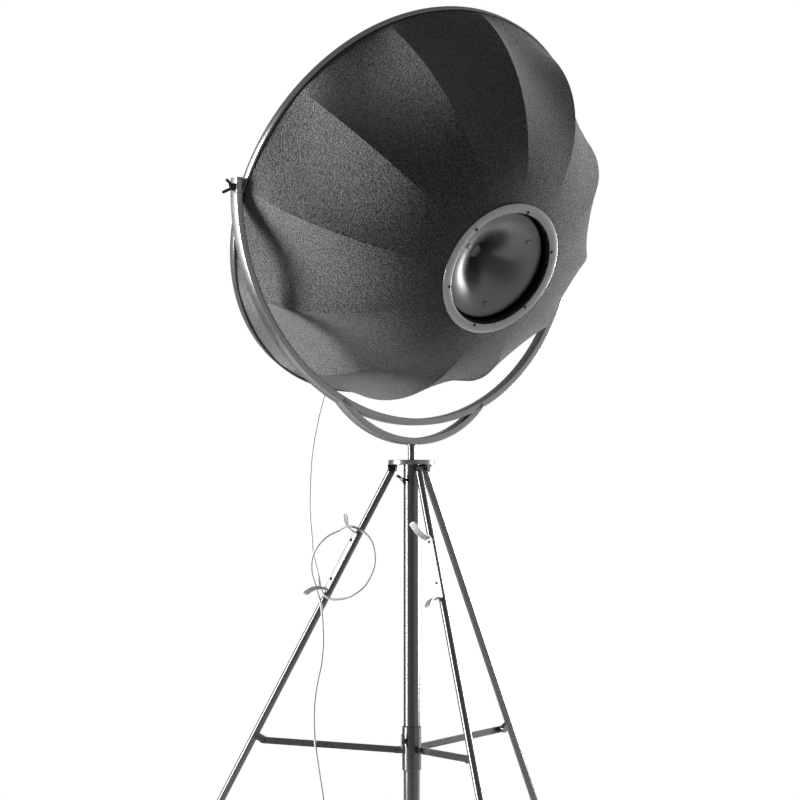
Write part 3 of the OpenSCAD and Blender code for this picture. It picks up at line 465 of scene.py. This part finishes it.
def turned_skin(profile, sides):
    """A profile of radius and height, turned round the Z axis."""
    profile = np.asarray(profile, float)
    turn = np.linspace(0, 2 * np.pi, sides, endpoint=False)
    radius, height = profile[:, :1], profile[:, 1:]
    return np.stack([radius * np.cos(turn), radius * np.sin(turn), height + 0 * turn], axis=2)


boss_r, boss_bore_r, boss_low, boss_high, boss_ease = 11.0, 8.0, 996.0, 1004.0, 0.6
boss_profile = [
    (boss_bore_r, boss_low), (boss_r - boss_ease, boss_low), (boss_r, boss_low + boss_ease),
    (boss_r, boss_high - boss_ease), (boss_r - boss_ease, boss_high), (boss_bore_r, boss_high),
]
boss = grid_mesh("cradle_boss", turned_skin(boss_profile, 64) / 1000, wrap_u=True, wrap_v=True)
for piece in (cradle, boss):
    finish_piece(piece, grey_steel)
    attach(piece, "yoke")
    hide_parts("cradle")
finish_nodes(grey_steel, "yoke cradle")
finish_nodes(black_steel, "wing_nut_left wing_nut_right")


# ---- Rim ----
# A flat steel hoop with a narrow lip in front. A black bead lies in the joint between it and
# the felt, whose hem is clamped inside; its black is painted shade, standing for that joint's shadow.
def head_ring(name, profile, sides):
    """A closed profile of radius and height, turned round the head's axis."""
    return grid_mesh(name, in_head(turned_skin(profile, sides)), wrap_u=True, wrap_v=True)


ease, ease_middle = 0.9, 0.25
rim_r, rim_front, rim_back = 450.0, -8.0, 7.0
rim_t, lip_reach, lip_t = 4.0, 9.0, 2.0
rim = head_ring("rim_band", [
    (rim_r - lip_reach, rim_front), (rim_r - ease, rim_front),
    (rim_r - ease_middle, rim_front + ease_middle), (rim_r, rim_front + ease),
    (rim_r, rim_back - ease), (rim_r - ease_middle, rim_back - ease_middle),
    (rim_r - ease, rim_back), (rim_r - rim_t, rim_back), (rim_r - rim_t, rim_front + lip_t),
    (rim_r - lip_reach, rim_front + lip_t),
][::-1], 360)
finish_piece(rim, grey_steel)
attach(rim, "head")
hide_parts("rim")
finish_nodes(grey_steel, "rim")

# Painted shade: a black bead where the shadow falls in the joint between rim and felt.
shade_bead_r, shade_bead_seat_r, shade_bead_height = 1.7, 446.6, 8.2
around = np.linspace(0, 2 * np.pi, 12, endpoint=False)
shade_bead_section = np.stack([
    shade_bead_seat_r + shade_bead_r * np.cos(around), shade_bead_height + shade_bead_r * np.sin(around),
], axis=1)
joint_shade_bead = head_ring("hem_joint_shade_bead", shade_bead_section[::-1], 360)
finish_piece(joint_shade_bead, black_plastic)
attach(joint_shade_bead, "head")


# ---- Shade ----
# Charcoal felt stretched over twelve ribs, each a sharp ridge, and hanging in between them.
# Light and dark fibres are felted together, and the nap goes pale at grazing angles.
gores = 12
sag, felt_t = 29.0, 3.0
hem_r, hem_low, felt_top, felt_hole_r = 445.9, -5.8, 328.5, 128.0
rib_curve = np.array([(hem_r, rim_back), (430.0, 151.0), (315.0, 288.0), (150.5, felt_top)])


def rib_line(t):
    """The cubic curve of the ribs, radius and height, and its outward normal, at t from 0 to 1."""
    t = np.asarray(t, float)[:, None]
    p = rib_curve
    place = (1 - t)**3 * p[0] + 3 * (1 - t)**2 * t * p[1] + 3 * (1 - t) * t**2 * p[2] + t**3 * p[3]
    along = (1 - t)**2 * (p[1] - p[0]) + 2 * (1 - t) * t * (p[2] - p[1]) + t**2 * (p[3] - p[2])
    out = np.stack([along[:, 1], -along[:, 0]], axis=1)
    return place, out / np.linalg.norm(out, axis=1)[:, None]


# Across each gore the columns stand closer together near the ridges, which keeps them sharp.
gore_columns = 30
u = (1 - np.cos(np.pi * np.arange(gore_columns) / gore_columns)) / 2
gore_turn = (np.arange(gores)[:, None] + u[None, :]).reshape(-1) * 2 * np.pi / gores
gore_dip = np.tile(4 * u * (1 - u), gores)


def felt_surface(inset, rows):
    """The rib line less sag * 4u(1-u) * sin(pi * t**0.535)**2, for u across each gore."""
    t = np.linspace(0, 1, rows)
    place, out = rib_line(t)
    dip = sag * np.sin(np.pi * t**0.535)[:, None]**2 * gore_dip[None, :]
    radius = place[:, :1] - (inset + dip) * out[:, :1]
    height = place[:, 1:] - (inset + dip) * out[:, 1:]
    return np.stack([radius * np.cos(gore_turn), radius * np.sin(gore_turn), height], axis=2)


def felt_edge(radius, height):
    """A flat circle of the felt, with the same columns as the gores."""
    flat = np.full(len(gore_turn), height)
    return np.stack([radius * np.cos(gore_turn), radius * np.sin(gore_turn), flat], axis=1)


rows = 84
section = np.concatenate([
    [felt_edge(hem_r, hem_low), felt_edge(hem_r, 0.0)], felt_surface(0.0, rows),
    [felt_edge(felt_hole_r, felt_top), felt_edge(felt_hole_r, felt_top - felt_t)],
    felt_surface(felt_t, rows)[::-1],
    [felt_edge(hem_r - felt_t, 0.0), felt_edge(hem_r - felt_t, hem_low)],
])
shade = grid_mesh("felt_shade", in_head(section), wrap_u=True, wrap_v=True)

felt, tree, shader = material("felt", (0.05, 0.05, 0.05), roughness=0.95)
shader.inputs["Specular IOR Level"].default_value = 0.15
shader.inputs["Sheen Weight"].default_value = 0.55
shader.inputs["Sheen Roughness"].default_value = 0.45
fibres = object_noise(tree, 330.0, 2.0, 0.6)
tones = tree.nodes.new("ShaderNodeValToRGB")
tones.color_ramp.elements[0].position = 0.38
tones.color_ramp.elements[0].color = (0.05, 0.049, 0.05, 1.0)
tones.color_ramp.elements[1].position = 0.64
tones.color_ramp.elements[1].color = (0.265, 0.26, 0.265, 1.0)
tree.links.new(fibres, tones.inputs["Fac"])
tree.links.new(tones.outputs["Color"], shader.inputs["Base Color"])
add_bump(tree, shader, fibres, 1.0, 0.0065)
finish_piece(shade, felt)
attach(shade, "head")
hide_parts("shade")
finish_nodes(felt, "shade")


# ---- Hub and dish ----
# A flat steel ring holds the felt's centre with six black screws. Behind it a black tray
# carries a spun dish, flared like the bell of a horn, on three spacers with flat-headed screws.
hub_r, hub_open_r, hub_h, hub_t = 146.5, 126.0, 332.0, 3.5
hub_ring = head_ring("hub_ring_turned", [
    (hub_open_r, hub_h - hub_t), (hub_r, hub_h - hub_t), (hub_r, hub_h - ease),
    (hub_r - ease_middle, hub_h - ease_middle), (hub_r - ease, hub_h), (hub_open_r + ease, hub_h),
    (hub_open_r + ease_middle, hub_h - ease_middle), (hub_open_r, hub_h - ease),
], 240)
finish_piece(hub_ring, grey_steel)
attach(hub_ring, "head")
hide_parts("hub_ring")
finish_nodes(grey_steel, "hub_ring")
finish_nodes(black_steel, "hub_screws hub_tray dish_spacers")

# The bell sinks as the power 2.2 of the way in from its lip. Its rings stand closer together
# near the neck, where the bell is steepest.
dish_r, dish_h, dish_depth, dish_t, neck_r = 118.0, 312.0, 74.0, 1.5, 14.0
way_out = np.linspace(0, 1, 64)**1.3
radii = neck_r + (dish_r - neck_r) * way_out
heights = dish_h - dish_depth * (1 - way_out)**2.2
bead = np.linspace(math.pi / 2, -math.pi / 2, 9)[1:-1]
lip = np.stack([
    dish_r + dish_t / 2 * np.cos(bead), dish_h - dish_t / 2 + dish_t / 2 * np.sin(bead),
], axis=1)
front = np.stack([radii, heights], axis=1)
back = np.stack([radii, heights - dish_t], axis=1)[::-1]
dish = head_ring("spun_dish", np.vstack([front, lip, back])[::-1], 240)
dish_gloss, tree, shader = material("dish_gloss", (0.14, 0.14, 0.143), metallic=0.9)
vary_roughness(tree, shader, 30.0, 0.32, 0.36)
finish_piece(dish, dish_gloss)
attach(dish, "head")
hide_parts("dish")
finish_nodes(dish_gloss, "dish dish_screws")


# ---- Lamp ----
# Out of sight inside the shade: a white holder on the dish's neck, and a large globe bulb.
holder_white = moulded("holder_white", (0.72, 0.72, 0.70), 0.3, 0.4)
finish_nodes(holder_white, "lamp_holder")
opal, tree, shader = material("opal_glass", (0.9, 0.9, 0.87), roughness=0.25)
shader.inputs["Subsurface Weight"].default_value = 0.3
finish_nodes(opal, "bulb")


# ---- Floor, background and light ----
# A pale floor, below the picture's lower edge, a white backdrop behind, a darker room in front,
# and two tall softboxes, one at the left and one behind at the right.
half = 1.5
floor_corners = [(-half, -half, 0), (half, -half, 0), (half, half, 0), (-half, half, 0)]
floor_mesh = bpy.data.meshes.new("floor")
floor_mesh.from_pydata(floor_corners, [], [(0, 1, 2, 3)])
floor = bpy.data.objects.new("floor", floor_mesh)
scene.collection.objects.link(floor)
floor_paint, tree, shader = material("floor_paint", (0.85, 0.85, 0.85), roughness=0.8)
# It looks pale, but sends little light up under the shade, as the floor of a large studio does.
seen = tree.nodes.new("ShaderNodeLightPath")
pale = tree.nodes.new("ShaderNodeMapRange")
pale.inputs["To Min"].default_value = 0.85
pale.inputs["To Max"].default_value = 0.15
tree.links.new(seen.outputs["Is Diffuse Ray"], pale.inputs["Value"])
tree.links.new(pale.outputs["Result"], shader.inputs["Base Color"])
floor.data.materials.append(floor_paint)

world = bpy.data.worlds.new("world")
scene.world = world
world.use_nodes = True
tree = world.node_tree
backdrop = tree.nodes["Background"]
backdrop.inputs["Color"].default_value = (1.0, 1.0, 1.0, 1.0)
room = tree.nodes.new("ShaderNodeBackground")
direction = tree.nodes.new("ShaderNodeTexCoord")
parts = tree.nodes.new("ShaderNodeSeparateXYZ")
tree.links.new(direction.outputs["Generated"], parts.inputs["Vector"])


def room_level(axis, start, end, low, high):
    """A smooth step in the room's brightness, along one axis of the direction looked in."""
    step = tree.nodes.new("ShaderNodeMapRange")
    step.interpolation_type = "SMOOTHSTEP"
    step.inputs["From Min"].default_value = start
    step.inputs["From Max"].default_value = end
    step.inputs["To Min"].default_value = low
    step.inputs["To Max"].default_value = high
    tree.links.new(parts.outputs[axis], step.inputs["Value"])
    return step.outputs["Result"]


# Reflections see the backdrop behind, a grey wall at the right and a dark room elsewhere.
brighter = tree.nodes.new("ShaderNodeMath")
brighter.operation = "MAXIMUM"
tree.links.new(room_level("X", 0.2, 0.8, 0.22, 0.6), brighter.inputs[0])
tree.links.new(room_level("Y", 0.85, 0.97, 0.0, 0.6), brighter.inputs[1])
tree.links.new(brighter.outputs["Value"], room.inputs["Color"])
# What lights the object from the room is plain and dim, and the camera sees white.
ambient = tree.nodes.new("ShaderNodeBackground")
ambient.inputs["Color"].default_value = (0.11, 0.11, 0.11, 1.0)
ray = tree.nodes.new("ShaderNodeLightPath")
for_diffuse = tree.nodes.new("ShaderNodeMixShader")
tree.links.new(ray.outputs["Is Diffuse Ray"], for_diffuse.inputs["Fac"])
tree.links.new(room.outputs["Background"], for_diffuse.inputs[1])
tree.links.new(ambient.outputs["Background"], for_diffuse.inputs[2])
for_camera = tree.nodes.new("ShaderNodeMixShader")
tree.links.new(ray.outputs["Is Camera Ray"], for_camera.inputs["Fac"])
tree.links.new(for_diffuse.outputs["Shader"], for_camera.inputs[1])
tree.links.new(backdrop.outputs["Background"], for_camera.inputs[2])
tree.links.new(for_camera.outputs["Shader"], tree.nodes["World Output"].inputs["Surface"])


def softbox(name, place, target, width, height, power):
    """A rectangular lamp that faces the target."""
    data = bpy.data.lights.new(name, "AREA")
    data.shape = "RECTANGLE"
    data.size, data.size_y = width, height
    data.energy = power
    light = bpy.data.objects.new(name, data)
    light.location = place
    light.rotation_euler = (Vector(target) - Vector(place)).to_track_quat("-Z", "Y").to_euler()
    scene.collection.objects.link(light)


softbox("left", (-2.95, -0.6, 1.3), (0, 0, 1.35), 1.0, 2.6, 185)
softbox("right", (2.8, 1.8, 1.2), (0, 0, 1.45), 1.2, 2.0, 195)

scene.view_settings.view_transform = "Standard"
